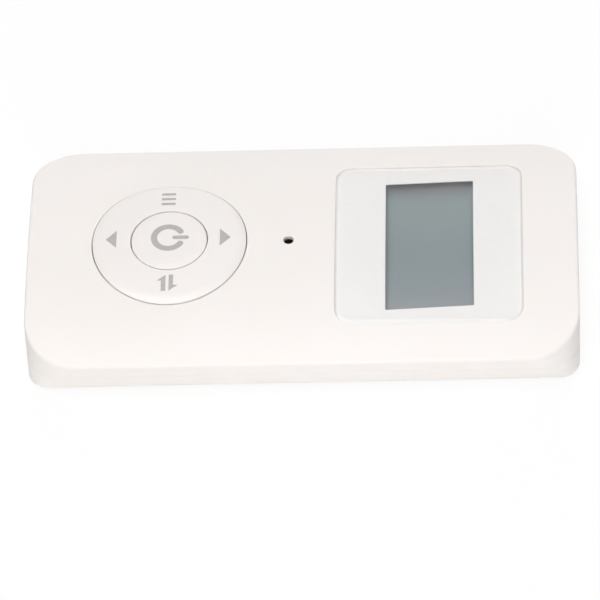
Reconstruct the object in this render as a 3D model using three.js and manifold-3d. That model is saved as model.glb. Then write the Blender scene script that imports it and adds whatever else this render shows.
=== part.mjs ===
// Battery wall thermostat: a slim moulded case with a display at its upper end
// and a rocker ring round a power button at its lower end.
// Units are millimetres. +X points up the wall, towards the display, +Z out of the front.
// The origin is the centre of the flat rear face.
import * as THREE from 'three';
import { mergeVertices } from 'three/addons/utils/BufferGeometryUtils.js';
import Module from 'manifold-3d';

const wasm = await Module();
wasm.setup();

// ---- driving dimensions -------------------------------------------------
const caseLength = 120;
const caseWidth = 62.3;
const caseThickness = 14.9;      // rear face to the crest of the front face
const crownDepth = 4.94;         // how far the long edges lie below the crest
const crownPower = 2.5;
const frontCorner = 11.4;        // corner radius of the front outline
const rearCorner = 4.2;          // corner radius of the rear outline
const rearTaperSide = 2.8;       // rear outline inset at each long side
const rearTaperEnd = 0.2;        // rear outline inset at each end
const partingHeight = 5.5;
const partingGap = 0.25;
const wall = 2.0;
const faceWall = 1.8;
const floorWall = 1.8;
const edgeRound = 0.4;

const gap = 0.3;                 // clearance between neighbours
const slim = 0.15;               // clearance in stacked thin layers

const boardThickness = 1.0;
const boardTop = 8.0;
const boardInset = 4.4;          // board edge from the case outline
const boardNotch = 9.0;          // corner notch of the board, clear of the screw bosses

const sensorOffset = -2.95;      // case centre to the sensor hole
const padPitch = 26.1;           // sensor hole to the middle of the key pad
const padRadius = 16.82;
const padProud = 0.28;           // rim of the ring above the face
const padRise = 0.62;            // the ring's inner edge above its rim
const padFlange = 1.4;
const buttonRadius = 8.16;
const buttonFlange = 1.0;
const keyLegSpread = 12.8;       // middle of the pad to each key leg
const keyLegRadius = 1.5;

const lensPitch = 30.5;          // sensor hole to the middle of the lens
const lensLength = 40.3;
const lensWidth = 44.5;
const lensCorner = 3.75;
const lensThickness = 0.9;
const lensSink = 0;              // top of the lens below the crowned face
const maskThickness = 0.2;
const windowLength = 18.9;
const windowWidth = 35.8;
const glassLength = 27;
const glassWidth = 40.4;
const glassThickness = 0.95;
const contactLedge = 2.8;        // front glass beyond the rear glass
const holderFrame = 2.5;         // frame of the holder round the front glass
const trayFloor = 1.2;           // wall under the lens
const trayWall = 1.8;

const sensorHole = 1.1;
const sleeveBore = 2.0;
const sleeveWall = 0.8;

const bossInsetEnd = 6.3;
const bossInsetSide = 9.6;
const bossRadius = 3.0;
const screwShank = 1.15;
const screwHead = 2.3;
const screwHeadHeight = 1.7;
const screwSeat = 2.6;
const boardScrewInset = 3.3;     // from the long edge of the board
const boardScrewShank = 0.85;
const boardScrewHead = 1.9;
const postRadius = 2.2;

const chipInset = 20.75;         // long side of the case to the chips
const canInset = 15.55;          // long side of the case to the cans and the coil
const postPitch = 40;            // board post to board post, along the case
const processorSize = 9;
const processorHeight = 1.4;
const radioLength = 16;
const radioWidth = 12;
const radioHeight = 2.2;
const crystalLength = 8;
const crystalWidth = 3.6;
const crystalHeight = 2.4;
const buzzerRadius = 4.2;
const buzzerHeight = 2.5;
const capacitorRadius = 2;
const capacitorHeight = 3.8;
const antennaRadius = 1.9;
const antennaWire = 0.35;
const antennaPitch = 3;
const antennaTurns = 5;
const beadRadius = 1.05;
const beadHeight = 2.4;
const leadRadius = 0.25;

const cellRadius = 10;
const cellThickness = 3.2;
const doorHub = 13.3;
const doorFlange = 2.3;
const doorFlangeHeight = 0.6;
const doorHubTop = 2.8;
const doorRecess = 0.15;
const lugReach = 1.3;
const lugHeight = 0.7;
const lugSpan = 30;              // degrees
const lockTurn = 45;             // degrees from locked to open
const holderWall = 1.2;
const coinSlotLength = 14;
const coinSlotWidth = 1.8;
const coinSlotDepth = 1.0;

const keyholePitch = 80;         // wall screw to wall screw
const keyholeHead = 4.0;
const keyholeSlot = 1.8;         // half the width of the narrow part
const keyholeTravel = 7;
const keyholeRim = 1.0;
const keyholeRimHeight = 1.4;

const round = 36;                // facets of the large circles
const small = 12;                // facets of the small ones
const crownSteps = 18;           // strips across the crowned face
const endSteps = 8;              // steps along each end of the case

// ---- places worked out from the sizes above ----------------------------
const halfLength = caseLength / 2;
const halfWidth = caseWidth / 2;
const sensorX = sensorOffset;
const padX = sensorX - padPitch;
const lensX = sensorX + lensPitch;
const wellRadius = padRadius + gap;
const boardBottom = boardTop - boardThickness;
const ceilingCrest = caseThickness - faceWall;
const maskSink = lensSink + lensThickness + slim;
const maskBottom = faceHeight(lensWidth / 2) - maskSink - maskThickness;
const trayTop = maskBottom - slim;
const glassTop = trayTop - slim;
const glassMiddle = glassTop - glassThickness;
const glassBottom = glassMiddle - glassThickness;

const bosses = [];
for (const sx of [-1, 1]) {
  for (const sy of [-1, 1]) {
    bosses.push([sx * (halfLength - bossInsetEnd), sy * (halfWidth - bossInsetSide)]);
  }
}
const chipRow = halfWidth - chipInset;
const canRow = halfWidth - canInset;
const boardScrewY = halfWidth - boardInset - boardScrewInset;
const boardScrews = [[sensorX, boardScrewY], [sensorX, -boardScrewY]];
const boardScrewTop = faceHeight(boardScrewY) - faceWall;

// ---- materials ----------------------------------------------------------
function finish(colour, roughness, metalness = 0) {
  return new THREE.MeshStandardMaterial({ color: colour, roughness, metalness });
}

const warmWhite = () => finish(0xf4f1ed, 0.42);
const keyWhite = () => finish(0xf5f2ee, 0.38);
const steel = () => finish(0xb9bcc0, 0.35, 0.9);
const aluminium = () => finish(0xc6c8cb, 0.4, 0.7);
const copper = () => finish(0xb87333, 0.35, 0.9);

// ---- solids -------------------------------------------------------------
function toSolid(geometry) {
  geometry.deleteAttribute('normal');
  geometry.deleteAttribute('uv');
  const merged = mergeVertices(geometry, 1e-4);
  return new wasm.Manifold(new wasm.Mesh({
    numProp: 3,
    vertProperties: new Float32Array(merged.attributes.position.array),
    triVerts: new Uint32Array(merged.index.array),
  }));
}

function toGeometry(solid) {
  const mesh = solid.getMesh();
  const geometry = new THREE.BufferGeometry();
  geometry.setAttribute('position', new THREE.BufferAttribute(mesh.vertProperties, 3));
  geometry.setIndex(new THREE.BufferAttribute(mesh.triVerts, 1));
  geometry.computeVertexNormals();
  return geometry;
}

// Skins a stack of rings, all with the same number of points, and closes both ends.
function loft(rings) {
  const count = rings[0].length;
  const points = rings.flat();
  const faces = [];
  for (let level = 0; level + 1 < rings.length; level += 1) {
    for (let k = 0; k < count; k += 1) {
      const a = level * count + k;
      const b = level * count + (k + 1) % count;
      faces.push(a, b, b + count, a, b + count, a + count);
    }
  }
  for (const level of [0, rings.length - 1]) {
    const middle = new THREE.Vector3();
    rings[level].forEach((point) => middle.add(point));
    points.push(middle.divideScalar(count));
    for (let k = 0; k < count; k += 1) {
      const a = level * count + k;
      const b = level * count + (k + 1) % count;
      faces.push(points.length - 1, level ? a : b, level ? b : a);
    }
  }
  const geometry = new THREE.BufferGeometry();
  const flat = points.flatMap((point) => [point.x, point.y, point.z]);
  geometry.setAttribute('position', new THREE.Float32BufferAttribute(flat, 3));
  geometry.setIndex(faces);
  return geometry;
}

function slabShape(length, width, corner) {
  const shape = new THREE.Shape();
  const x = length / 2 - corner;
  const y = width / 2 - corner;
  shape.absarc(x, y, corner, 0, Math.PI / 2);
  shape.absarc(-x, y, corner, Math.PI / 2, Math.PI);
  shape.absarc(-x, -y, corner, Math.PI, 1.5 * Math.PI);
  shape.absarc(x, -y, corner, 1.5 * Math.PI, 2 * Math.PI);
  shape.closePath();
  return shape;
}

function polygon(corners) {
  return new THREE.Shape(corners.map(([x, y]) => new THREE.Vector2(x, y)));
}

function circleShape(radius) {
  return new THREE.Shape().absarc(0, 0, radius, 0, 2 * Math.PI);
}

function ringShape(outer, inner) {
  const shape = circleShape(outer);
  shape.holes.push(new THREE.Path().absarc(0, 0, inner, 0, 2 * Math.PI));
  return shape;
}

// Extrudes a flat outline from z = low to z = high, with its origin at (x, y).
// Each arc of the outline gets arcSteps straight steps.
function prism(shape, low, high, x = 0, y = 0, arcSteps = 6) {
  const options = { depth: high - low, bevelEnabled: false, curveSegments: arcSteps / 2 };
  return new THREE.ExtrudeGeometry(shape, options).translate(x, y, low);
}

function disc(radius, low, high, x = 0, y = 0, facets = small) {
  const geometry = new THREE.CylinderGeometry(radius, radius, high - low, facets);
  return geometry.rotateX(Math.PI / 2).translate(x, y, (low + high) / 2);
}

function box(lengths, low, x = 0, y = 0) {
  return new THREE.BoxGeometry(...lengths).translate(x, y, low + lengths[2] / 2);
}

// Turns a profile of [radius, height] pairs about the Z axis.
function turned(profile, facets = small) {
  const points = profile.map(([radius, height]) => new THREE.Vector2(radius, height));
  return new THREE.LatheGeometry(points, facets).rotateX(Math.PI / 2);
}

// ---- the crowned and tapered case form ----------------------------------
function crownDrop(y) {
  return crownDepth * (Math.abs(y) / (caseWidth / 2)) ** crownPower;
}

function faceHeight(y) {
  return caseThickness - crownDrop(y);
}

// A rectangle with round corners. Its ends, where the crown shows, can be divided.
function roundedOutline(halfX, halfY, corner, endSteps = 1) {
  const cornerSteps = 7;
  const points = [];
  [[1, 1], [-1, 1], [-1, -1], [1, -1]].forEach(([sx, sy], quarter) => {
    for (let k = 0; k <= cornerSteps; k += 1) {
      const angle = (quarter + k / cornerSteps) * Math.PI / 2;
      const x = sx * (halfX - corner) + corner * Math.cos(angle);
      const y = sy * (halfY - corner) + corner * Math.sin(angle);
      points.push(new THREE.Vector2(x, y));
    }
    for (let k = 1; k < endSteps && quarter % 2; k += 1) {
      const y = sy * (halfY - corner) * (1 - 2 * k / endSteps);
      points.push(new THREE.Vector2(sx * halfX, y));
    }
  });
  return points;
}

// One ring of the case wall. Every wall line runs straight from the rear outline
// (share 0) to the crowned front outline (share 1), and the ring lies inset from it.
function wallRing(inset, place) {
  const rearX = halfLength - rearTaperEnd - inset;
  const rearY = halfWidth - rearTaperSide - inset;
  const rear = roundedOutline(rearX, rearY, Math.max(rearCorner - inset, 0.4), endSteps);
  const front = roundedOutline(
    halfLength - inset,
    halfWidth - inset,
    frontCorner - inset,
    endSteps,
  );
  return rear.map((low, k) => {
    const high = front[k];
    const top = faceHeight(high.y);
    const { share, z } = place(top);
    const x = THREE.MathUtils.lerp(low.x, high.x, share);
    const y = THREE.MathUtils.lerp(low.y, high.y, share);
    return new THREE.Vector3(x, y, z);
  });
}

const atHeight = (z) => (top) => ({ share: z / top, z });
const atShare = (share) => (top) => ({ share, z: share * top });
const above = caseThickness + 5;

function caseBlank() {
  return toSolid(loft([
    wallRing(edgeRound, atHeight(0)),
    wallRing(edgeRound * 0.3, atHeight(edgeRound * 0.3)),
    wallRing(0, atHeight(edgeRound)),
    wallRing(0, atShare(0.955)),
    wallRing(edgeRound * 0.3, atShare(0.985)),
    wallRing(edgeRound, atShare(1.01)),
    wallRing(edgeRound, () => ({ share: 1, z: above })),
  ])).intersect(underCrown(0));
}

function cavity(low, high) {
  return toSolid(loft([
    wallRing(wall, atHeight(low)),
    wallRing(wall, atShare(0.9)),
    wallRing(wall, () => ({ share: 1, z: above })),
  ])).intersect(underCrown(faceWall)).intersect(slabBetween(low, high));
}

// Everything that lies deeper than this below the crowned face.
function underCrown(depth) {
  const reach = halfWidth + 5;
  const section = [[-reach, -5], [reach, -5]];
  for (let k = 0; k <= crownSteps; k += 1) {
    const y = reach * (1 - 2 * k / crownSteps);
    section.push([y, faceHeight(y) - depth]);
  }
  const turn = new THREE.Matrix4().makeBasis(
    new THREE.Vector3(0, 1, 0),
    new THREE.Vector3(0, 0, 1),
    new THREE.Vector3(1, 0, 0),
  );
  const geometry = prism(polygon(section), -halfLength - 5, halfLength + 5);
  return toSolid(geometry.applyMatrix4(turn));
}

function slabBetween(low, high) {
  return toSolid(box([caseLength + 20, caseWidth + 20, high - low], low));
}

function sum(pieces) {
  return pieces.reduce((all, piece) => all.add(toSolid(piece)), toSolid(pieces[0].clone()));
}

// ---- case shells --------------------------------------------------------
const tongue = 1.1;
const tongueWall = 0.9;

function band(outerInset, innerInset, low, high) {
  const outside = toSolid(loft([
    wallRing(outerInset, atHeight(low)),
    wallRing(outerInset, atHeight(high)),
  ]));
  const inside = toSolid(loft([
    wallRing(innerInset, atHeight(low - 1)),
    wallRing(innerInset, atHeight(high + 1)),
  ]));
  return outside.subtract(inside);
}

const keyFrameTop = 9.5;
const ringFlangeBottom = 10.4;
const ringFlangeHeight = 0.7;

function frontShell() {
  const low = partingHeight + partingGap / 2;
  const wellRimInner = padRadius + padFlange + gap * 2;
  const wellRim = ringShape(wellRimInner + 1.2, wellRimInner);
  const hangers = [
    prism(wellRim, keyFrameTop + gap, above, padX, 0, round),
    prism(
      slabShape(lensLength + 2 * (gap + trayWall), lensWidth + 2 * (gap + trayWall), lensCorner + trayWall),
      trayTop - trayFloor,
      above,
      lensX,
    ),
    ...bosses.map(([x, y]) => disc(bossRadius, partingHeight - 0.3, above, x, y)),
    ...boardScrews.map(([x, y]) => disc(postRadius, boardTop + slim, above, x, y)),
  ];
  const cuts = [
    disc(wellRadius, ringFlangeBottom - 1, above, padX, 0, round),
    disc(sensorHole, boardTop, above, sensorX),
    prism(
      slabShape(lensLength + 2 * gap, lensWidth + 2 * gap, lensCorner + gap),
      trayTop,
      above,
      lensX,
    ),
    prism(slabShape(glassLength + 2 * gap, glassWidth + 2 * gap, 0.6), boardTop, above, lensX),
    ...bosses.map(([x, y]) => disc(screwShank + gap, 0, ceilingCrest - 2.4, x, y)),
    ...boardScrews.map(([x, y]) => disc(boardScrewShank + slim, 0, boardScrewTop, x, y)),
  ];
  const lip = band(wall - tongueWall, wall, partingHeight - tongue, partingHeight + 2);
  return caseBlank()
    .intersect(slabBetween(low, above))
    .subtract(cavity(low - 1, above))
    .add(lip.subtract(slabBetween(partingHeight + 1, above)))
    .add(sum(hangers).intersect(underCrown(faceWall / 2)))
    .subtract(sum(cuts));
}

function keyholeShape(margin) {
  const shape = new THREE.Shape();
  const meet = Math.asin((keyholeSlot + margin) / (keyholeHead + margin));
  shape.absarc(0, 0, keyholeHead + margin, meet, 2 * Math.PI - meet);
  shape.absarc(keyholeTravel, 0, keyholeSlot + margin, -Math.PI / 2, Math.PI / 2);
  shape.closePath();
  return shape;
}

function lugPlate(radius, span, low, high) {
  const shape = new THREE.Shape();
  const half = THREE.MathUtils.degToRad(span / 2);
  shape.moveTo(0, 0);
  shape.absarc(0, 0, radius, -half, half);
  shape.closePath();
  return prism(shape, low, high);
}

function rearShell() {
  const top = partingHeight - partingGap / 2;
  const keyholes = [-keyholePitch / 2, keyholePitch / 2];
  const additions = [
    ...bosses.map(([x, y]) => disc(bossRadius + 0.6, floorWall / 2, partingHeight - 0.6, x, y)),
    ...keyholes.map((x) => prism(
      keyholeShape(keyholeRim),
      floorWall / 2,
      floorWall + keyholeRimHeight,
      x,
    )),
    prism(ringShape(doorHub + lugReach + 2.4, doorHub + lugReach + 1.2), floorWall / 2, 3.4, 0, 0, round),
  ];
  for (const x of [-postPitch / 2, postPitch / 2]) {
    for (const y of [-1, 1]) {
      const side = y * (halfWidth - rearTaperSide - wall - postRadius - 1);
      additions.push(disc(postRadius, floorWall / 2, boardBottom - slim, x, side));
    }
  }
  const cuts = [
    ...bosses.map(([x, y]) => disc(screwHead + gap, -1, screwSeat, x, y)),
    ...bosses.map(([x, y]) => disc(screwShank + gap, 0, partingHeight, x, y)),
    ...keyholes.map((x) => prism(keyholeShape(0), -1, above, x)),
    disc(doorHub + doorFlange + gap, -1, doorRecess + doorFlangeHeight + slim, 0, 0, round),
    disc(doorHub + gap, -1, floorWall + 1, 0, 0, round),
    ...[0, Math.PI].map((turn) => lugPlate(
      doorHub + lugReach + gap,
      lugSpan + 6,
      -1,
      floorWall + 1,
    ).rotateZ(turn - THREE.MathUtils.degToRad(lockTurn))),
  ];
  const rebate = band(wall - tongueWall - gap, wall + 0.5, partingHeight - tongue - gap, above);
  return caseBlank()
    .intersect(slabBetween(-1, top))
    .subtract(cavity(floorWall, above))
    .subtract(rebate)
    .add(sum(additions))
    .subtract(sum(cuts));
}

// ---- display ------------------------------------------------------------
// A plate over the display that follows the crown, its top this far below the face.
function crownedPlate(shape, sink, thickness) {
  const block = toSolid(prism(shape, boardTop, above, lensX));
  return toGeometry(block.intersect(underCrown(sink)).subtract(underCrown(sink + thickness)));
}

function displayLens() {
  return crownedPlate(slabShape(lensLength, lensWidth, lensCorner), lensSink, lensThickness);
}

function lensMask() {
  const shape = slabShape(lensLength - 0.6, lensWidth - 0.6, lensCorner - 0.3);
  shape.holes.push(slabShape(windowLength, windowWidth, 0.2));
  return crownedPlate(shape, maskSink, maskThickness);
}

// The front glass overhangs the rear glass on both sides, where its contacts are.
function lcdPanel() {
  const front = box([glassLength, glassWidth, glassThickness], glassMiddle, lensX);
  const rear = box([glassLength - 2 * contactLedge, glassWidth, glassThickness], glassBottom, lensX);
  return toGeometry(sum([front, rear]));
}

function lcdHolder() {
  const shape = slabShape(glassLength + 2 * holderFrame, glassWidth + 2 * holderFrame, 1.2);
  shape.holes.push(slabShape(glassLength + 2 * gap, glassWidth + 2 * gap, 0.6));
  return prism(shape, boardTop + slim, trayTop - trayFloor - gap, lensX);
}

function lightGuide() {
  const shape = slabShape(glassLength - 2 * contactLedge, glassWidth - 2, 0.5);
  return prism(shape, boardTop + slim, glassBottom - slim, lensX);
}

function elastomerStrip(side) {
  const width = contactLedge - 2 * gap;
  const x = lensX + side * (glassLength - contactLedge) / 2;
  const height = glassMiddle - boardTop - 2 * slim;
  return box([width, glassWidth - 4, height], boardTop + slim, x);
}

// ---- board and its parts ------------------------------------------------
function mainBoard() {
  const x = halfLength - boardInset;
  const y = halfWidth - boardInset;
  const corners = [[x, y - boardNotch], [x - boardNotch, y - boardNotch], [x - boardNotch, y]];
  const upper = [...corners, ...corners.map(([a, b]) => [-a, b]).reverse()];
  const shape = polygon([...upper, ...upper.map(([a, b]) => [-a, -b])]);
  for (const [a, b] of boardScrews) {
    shape.holes.push(new THREE.Path().absarc(a, b, boardScrewShank + gap, 0, 2 * Math.PI));
  }
  return prism(shape, boardBottom, boardTop);
}

// The chips, cans and coil all hang under the board, beside the coin cell.
const underBoard = boardBottom - slim;

function underChip(length, width, height, x, y) {
  return prism(slabShape(length, width, 0.3), underBoard - height, underBoard, x, y, 2);
}

function hangingCan(profile, x, y) {
  return turned(profile).rotateX(Math.PI).translate(x, y, underBoard);
}

function buzzer(x, y) {
  const mouth = buzzerRadius / 5;
  const can = [[0, 0], [buzzerRadius, 0], [buzzerRadius, buzzerHeight - 0.3]];
  can.push([buzzerRadius - 0.3, buzzerHeight], [mouth, buzzerHeight]);
  can.push([mouth, buzzerHeight - 0.6], [0, buzzerHeight - 0.6]);
  return hangingCan(can, x, y);
}

// The can has the crimp groove of an electrolytic capacitor.
function capacitor(x, y) {
  const crimp = capacitorHeight / 4;
  const neck = capacitorRadius - 0.2;
  const can = [[0, 0], [capacitorRadius, 0], [capacitorRadius, crimp - 0.2], [neck, crimp]];
  can.push([capacitorRadius, crimp + 0.2], [capacitorRadius, capacitorHeight - 0.2]);
  can.push([neck, capacitorHeight], [0, capacitorHeight]);
  return hangingCan(can, x, y);
}

class Helix extends THREE.Curve {
  constructor(radius, pitch, turns) {
    super();
    Object.assign(this, { radius, pitch, turns });
  }

  getPoint(t, target = new THREE.Vector3()) {
    const angle = t * this.turns * 2 * Math.PI;
    const along = t * this.turns * this.pitch;
    return target.set(along, this.radius * Math.cos(angle), this.radius * Math.sin(angle));
  }
}

function antenna(x, y) {
  const geometry = new THREE.ExtrudeGeometry(circleShape(antennaWire), {
    steps: antennaTurns * 10,
    bevelEnabled: false,
    curveSegments: 3,
    extrudePath: new Helix(antennaRadius, antennaPitch, antennaTurns),
  });
  return geometry.translate(x, y, underBoard - antennaRadius - antennaWire);
}

// A glass bead on two stiff leads, standing in the draught of the front hole.
function temperatureSensor() {
  const bead = [];
  for (let k = 0; k <= 6; k += 1) {
    const angle = k / 6 * Math.PI;
    bead.push([beadRadius * Math.sin(angle), beadHeight * (1 - Math.cos(angle)) / 2]);
  }
  const low = boardTop + slim;
  const beadLow = ceilingCrest - 1 - beadHeight;
  const leads = [-1, 1].map((side) => disc(
    leadRadius,
    low,
    beadLow + beadHeight / 3,
    sensorX,
    side * beadRadius / 2,
    8,
  ));
  return toGeometry(sum([turned(bead).translate(sensorX, 0, beadLow), ...leads]));
}

function sensorSleeve() {
  const shape = ringShape(sleeveBore + sleeveWall, sleeveBore);
  return prism(shape, boardTop + slim, ceilingCrest - gap, sensorX, 0, 18);
}

// ---- keys ---------------------------------------------------------------
const capUnderside = 12.4;
const collarOuter = 10.9;
const collarInner = 9.9;
const collarBottom = 10.7;
const collarTop = 11.5;
const domeTop = 10.0;
const matSheet = 0.6;
const matTop = boardTop + slim + matSheet;
const frameBottom = matTop + slim;
const centreDomeTop = 10.8;

// A round cap whose top follows the crowned face: rim and crown give its height
// above the face at the outer and the inner radius of the cap.
function crownedCap(outer, inner, underside, liftAt) {
  const rows = [[inner, underside], [outer, underside]];
  const edge = 0.35;
  const bands = 5;
  const tops = [[outer, -edge], [outer - edge * 0.3, -edge * 0.3], [outer - edge, 0]];
  for (let k = 1; k < bands; k += 1) {
    tops.push([THREE.MathUtils.lerp(outer - edge, inner + edge, k / bands), 0]);
  }
  tops.push([inner + edge, 0], [inner + edge * 0.3, -edge * 0.3], [inner, -edge]);
  const points = [];
  const faces = [];
  const count = rows.length + tops.length;
  for (let turn = 0; turn < round; turn += 1) {
    const angle = turn / round * 2 * Math.PI;
    const spoke = (radius) => [radius * Math.cos(angle), radius * Math.sin(angle)];
    rows.forEach(([radius, z]) => points.push(...spoke(radius), z));
    tops.forEach(([radius, dip]) => {
      const [x, y] = spoke(radius);
      points.push(x, y, faceHeight(y) + liftAt(radius) + dip);
    });
  }
  for (let turn = 0; turn < round; turn += 1) {
    for (let k = 0; k < count; k += 1) {
      const a = turn * count + k;
      const b = turn * count + (k + 1) % count;
      const c = ((turn + 1) % round) * count + (k + 1) % count;
      const d = ((turn + 1) % round) * count + k;
      faces.push(a, c, b, a, d, c);
    }
  }
  const geometry = new THREE.BufferGeometry();
  geometry.setAttribute('position', new THREE.Float32BufferAttribute(points, 3));
  geometry.setIndex(faces);
  return geometry;
}

function ringLift(radius) {
  const share = (padRadius - radius) / (padRadius - buttonRadius - gap);
  return padProud + padRise * share;
}

// The rocker ring: crowned cap, outer skirt with a retaining flange, four key legs.
function navRing() {
  const bore = buttonRadius + gap;
  const skirt = padRadius - 1.3;
  const flange = padRadius + padFlange;
  const flangeTop = ringFlangeBottom + ringFlangeHeight;
  const pieces = [
    crownedCap(padRadius, bore, capUnderside, ringLift),
    prism(ringShape(padRadius, skirt), ringFlangeBottom, capUnderside + 0.5, 0, 0, round),
    prism(ringShape(flange, skirt), ringFlangeBottom, flangeTop, 0, 0, round),
  ];
  for (let quarter = 0; quarter < 4; quarter += 1) {
    const x = keyLegSpread * Math.cos(quarter * Math.PI / 2);
    const y = keyLegSpread * Math.sin(quarter * Math.PI / 2);
    pieces.push(disc(keyLegRadius, domeTop + gap, capUnderside + 0.5, x, y));
  }
  return toGeometry(sum(pieces).translate([padX, 0, 0]));
}

function powerButton() {
  const lift = ringLift(buttonRadius + gap);
  const top = caseThickness + lift;
  const skirtBottom = capUnderside - 1.4;
  const profile = [[0, top - 1.6], [buttonRadius - 1.2, top - 1.6], [buttonRadius - 1.2, skirtBottom]];
  profile.push([buttonRadius + buttonFlange, skirtBottom], [buttonRadius + buttonFlange, skirtBottom + 0.8]);
  profile.push([buttonRadius, skirtBottom + 0.8], [buttonRadius, top - 0.45]);
  profile.push([buttonRadius - 0.15, top - 0.15], [buttonRadius - 0.5, top], [buttonRadius / 2, top + 0.08]);
  profile.push([0, top + 0.1]);
  const plunger = disc(2, centreDomeTop + gap, top - 1, 0, 0);
  return toGeometry(sum([turned(profile, round), plunger]).translate([padX, 0, 0]));
}

// A slim collar between ring and frame: the ring rocks on its two upper ridges,
// and the collar rocks on its two lower ones.
function rockerCollar() {
  const reach = (collarOuter + collarInner) / 2;
  const ridge = collarOuter - collarInner - 0.2;
  const pieces = [prism(ringShape(collarOuter, collarInner), collarBottom, collarTop, 0, 0, 24)];
  for (const side of [-1, 1]) {
    pieces.push(box([ridge, 1.2, capUnderside - gap - collarTop + 0.2], collarTop - 0.2, side * reach));
    const foot = collarBottom - keyFrameTop - gap;
    pieces.push(box([1.2, ridge, foot + 0.2], keyFrameTop + gap, 0, side * reach));
  }
  return toGeometry(sum(pieces).translate([padX, 0, 0]));
}

function keypadFrame() {
  const shape = ringShape(padRadius + padFlange + gap * 2 + 1.2, 4.4);
  for (let quarter = 0; quarter < 4; quarter += 1) {
    const x = keyLegSpread * Math.cos(quarter * Math.PI / 2);
    const y = keyLegSpread * Math.sin(quarter * Math.PI / 2);
    shape.holes.push(new THREE.Path().absarc(x, y, keyLegRadius + 1.2, 0, 2 * Math.PI));
  }
  return prism(shape, frameBottom, keyFrameTop, padX, 0, 20);
}

// Silicone sheet with four key domes and one under the power button, hollow below.
function keypadMat() {
  const reach = padRadius + padFlange;
  const sheet = disc(reach, boardTop + slim, matTop, 0, 0, 28);
  const domes = [];
  const hollows = [];
  const seats = [[0, 0, 3.4, centreDomeTop]];
  for (let quarter = 0; quarter < 4; quarter += 1) {
    const x = keyLegSpread * Math.cos(quarter * Math.PI / 2);
    const y = keyLegSpread * Math.sin(quarter * Math.PI / 2);
    seats.push([x, y, keyLegRadius + 0.7, domeTop]);
  }
  for (const [x, y, foot, top] of seats) {
    const dome = [[0, matTop - 0.3], [foot, matTop - 0.3], [foot, matTop], [foot - 0.9, top - 0.1]];
    dome.push([foot - 1, top], [0, top]);
    domes.push(turned(dome).translate(x, y, 0));
    const hollow = [[0, boardTop], [foot - 0.5, boardTop], [foot - 1.3, top - 0.6], [0, top - 0.6]];
    hollows.push(turned(hollow).translate(x, y, 0));
  }
  return toGeometry(sum([sheet, ...domes]).subtract(sum(hollows)).translate([padX, 0, 0]));
}

// ---- battery ------------------------------------------------------------
function batteryDoor() {
  const flangeTop = doorRecess + doorFlangeHeight;
  const profile = [[0, doorRecess], [doorHub + doorFlange - 0.2, doorRecess]];
  profile.push([doorHub + doorFlange, doorRecess + 0.2], [doorHub + doorFlange, flangeTop]);
  profile.push([doorHub, flangeTop], [doorHub, doorHubTop], [doorHub - 1.2, doorHubTop]);
  profile.push([doorHub - 1.2, doorHubTop - 1], [0, doorHubTop - 1]);
  const lugs = [0, Math.PI].map((turn) => {
    const shape = new THREE.Shape();
    const half = THREE.MathUtils.degToRad(lugSpan / 2);
    shape.absarc(0, 0, doorHub + lugReach, -half, half);
    shape.absarc(0, 0, doorHub - 0.6, half, -half, true);
    shape.closePath();
    return prism(shape, doorHubTop - lugHeight, doorHubTop).rotateZ(turn);
  });
  const slot = toSolid(box([coinSlotLength, coinSlotWidth, coinSlotDepth + 1], doorRecess - 1));
  return toGeometry(sum([turned(profile, round), ...lugs]).subtract(slot));
}

const cellBottom = doorHubTop + gap;
const cellTop = cellBottom + cellThickness;

function coinCell() {
  const profile = [[0, cellBottom], [cellRadius - 0.5, cellBottom], [cellRadius, cellBottom + 0.5]];
  profile.push([cellRadius, cellTop - 0.4], [cellRadius - 0.5, cellTop - 0.2], [cellRadius - 1.4, cellTop - 0.2]);
  profile.push([cellRadius - 1.6, cellTop], [0, cellTop]);
  return turned(profile, 32);
}

function batteryHolder() {
  const inner = cellRadius + gap;
  const low = cellBottom + 0.3;
  const high = underBoard;
  const cup = toSolid(prism(ringShape(inner + holderWall, inner), low, high, 0, 0, 32));
  const slot = toSolid(box([holderWall + 2, 6, high - low + 2], low - 1, inner + holderWall / 2));
  return toGeometry(cup.subtract(slot));
}

// A springy arched strip that presses on the middle of the cell.
function negativeContact() {
  const strip = 0.12;
  const reach = 0.7 * cellRadius;
  const half = cellRadius / 5;
  const high = underBoard;
  const low = cellTop + slim;
  const rise = high - low - strip;
  const line = [];
  for (let k = 0; k <= 12; k += 1) {
    const u = k / 12 * 2 - 1;
    line.push([u * reach, low + rise * u * u]);
  }
  const back = line.map(([a, b]) => [a, b + strip]).reverse();
  return prism(polygon([...line, ...back]), -half, half).rotateX(Math.PI / 2);
}

function positiveContact() {
  const inner = cellRadius + gap;
  const high = underBoard;
  const strip = 0.35;
  const foot = cellRadius / 3;
  const half = cellRadius / 4;
  const low = cellBottom + 0.5;
  const line = [[inner, low], [inner + strip, low], [inner + strip, high - strip]];
  line.push([inner + foot, high - strip], [inner + foot, high], [inner, high]);
  return prism(polygon(line), -half, half).rotateX(Math.PI / 2);
}

// ---- screws -------------------------------------------------------------
function caseScrew([x, y]) {
  const low = screwSeat - gap - screwHeadHeight;
  const seat = low + screwHeadHeight;
  const tip = ceilingCrest - 2.4 - gap;
  const profile = [[0, low], [screwHead - 0.5, low], [screwHead, low + 0.6], [screwHead, seat]];
  profile.push([screwShank, seat], [screwShank, tip - 1], [0.3, tip], [0, tip]);
  return turned(profile).translate(x, y, 0);
}

function boardScrew([x, y]) {
  const seat = underBoard;
  const tip = boardScrewTop - gap;
  const profile = [[0, seat - 1.4], [boardScrewHead - 0.4, seat - 1.4], [boardScrewHead, seat - 1]];
  profile.push([boardScrewHead, seat], [boardScrewShank, seat], [boardScrewShank, tip - 0.6]);
  profile.push([0.2, tip], [0, tip]);
  return turned(profile).translate(x, y, 0);
}

// ---- the thermostat -----------------------------------------------------
const thermostat = new THREE.Group();

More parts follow.
